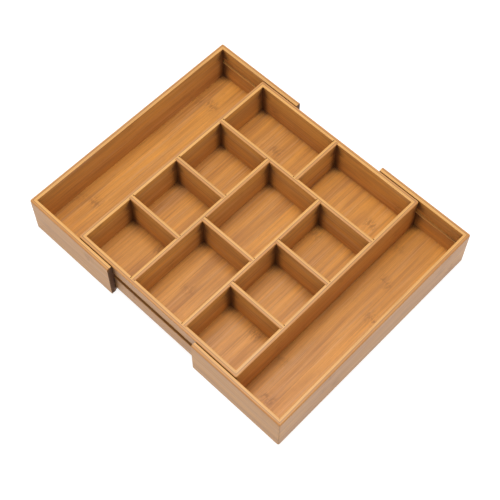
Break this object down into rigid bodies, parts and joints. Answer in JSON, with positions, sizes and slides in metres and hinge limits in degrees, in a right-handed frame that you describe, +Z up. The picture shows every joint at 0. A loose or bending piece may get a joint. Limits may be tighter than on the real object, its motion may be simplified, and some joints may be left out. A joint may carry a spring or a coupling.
{
  "type": "expandable drawer organizer insert",
  "caption": "Bamboo drawer insert: a divided centre tray with two side trays that slide out to fit the width of the drawer.",
  "frame": {"origin": "middle of the footprint with the trays drawn out as at rest, on the surface the trays stand on", "axes": "+X along the slide direction towards the right-hand tray, +Y towards the back of the drawer, +Z up"},
  "size_m": [0.4576, 0.368, 0.068],
  "materials": {
    "bamboo_wall": "clear satin lacquer on carbonised bamboo, grain along each board",
    "bamboo_divider": "clear satin lacquer on carbonised bamboo, grain along each board",
    "bamboo_floor": "clear satin lacquer on laminated bamboo strips, grain front to back",
    "bamboo_tongue": "bare sanded bamboo"
  },
  "bodies": {
    "center_tray": {"center_front_wall": "bamboo_wall", "center_back_wall": "bamboo_wall", "center_left_wall": "bamboo_wall", "center_right_wall": "bamboo_wall", "center_floor": "bamboo_floor", "back_row_divider": "bamboo_divider", "back_row_cross_divider": "bamboo_divider", "left_column_divider": "bamboo_divider", "right_column_divider": "bamboo_divider", "middle_cross_divider": "bamboo_divider", "left_front_cross_divider": "bamboo_divider", "left_rear_cross_divider": "bamboo_divider", "right_front_cross_divider": "bamboo_divider", "right_rear_cross_divider": "bamboo_divider"},
    "left_tray": {"left_tray_outer_wall": "bamboo_wall", "left_tray_front_wall": "bamboo_wall", "left_tray_back_wall": "bamboo_wall", "left_tray_floor": "bamboo_floor", "left_tray_front_tongue": "bamboo_tongue", "left_tray_back_tongue": "bamboo_tongue"},
    "right_tray": {"right_tray_outer_wall": "bamboo_wall", "right_tray_front_wall": "bamboo_wall", "right_tray_back_wall": "bamboo_wall", "right_tray_floor": "bamboo_floor", "right_tray_front_tongue": "bamboo_tongue", "right_tray_back_tongue": "bamboo_tongue"}
  },
  "joints": [
    {"name": "left_tray_slide", "type": "slide", "parent": "center_tray", "child": "left_tray", "axis": [-1, 0, 0], "range_m": [-0.0795, 0.0045]},
    {"name": "right_tray_slide", "type": "slide", "parent": "center_tray", "child": "right_tray", "axis": [1, 0, 0], "range_m": [-0.073, 0.011]}
  ]
}
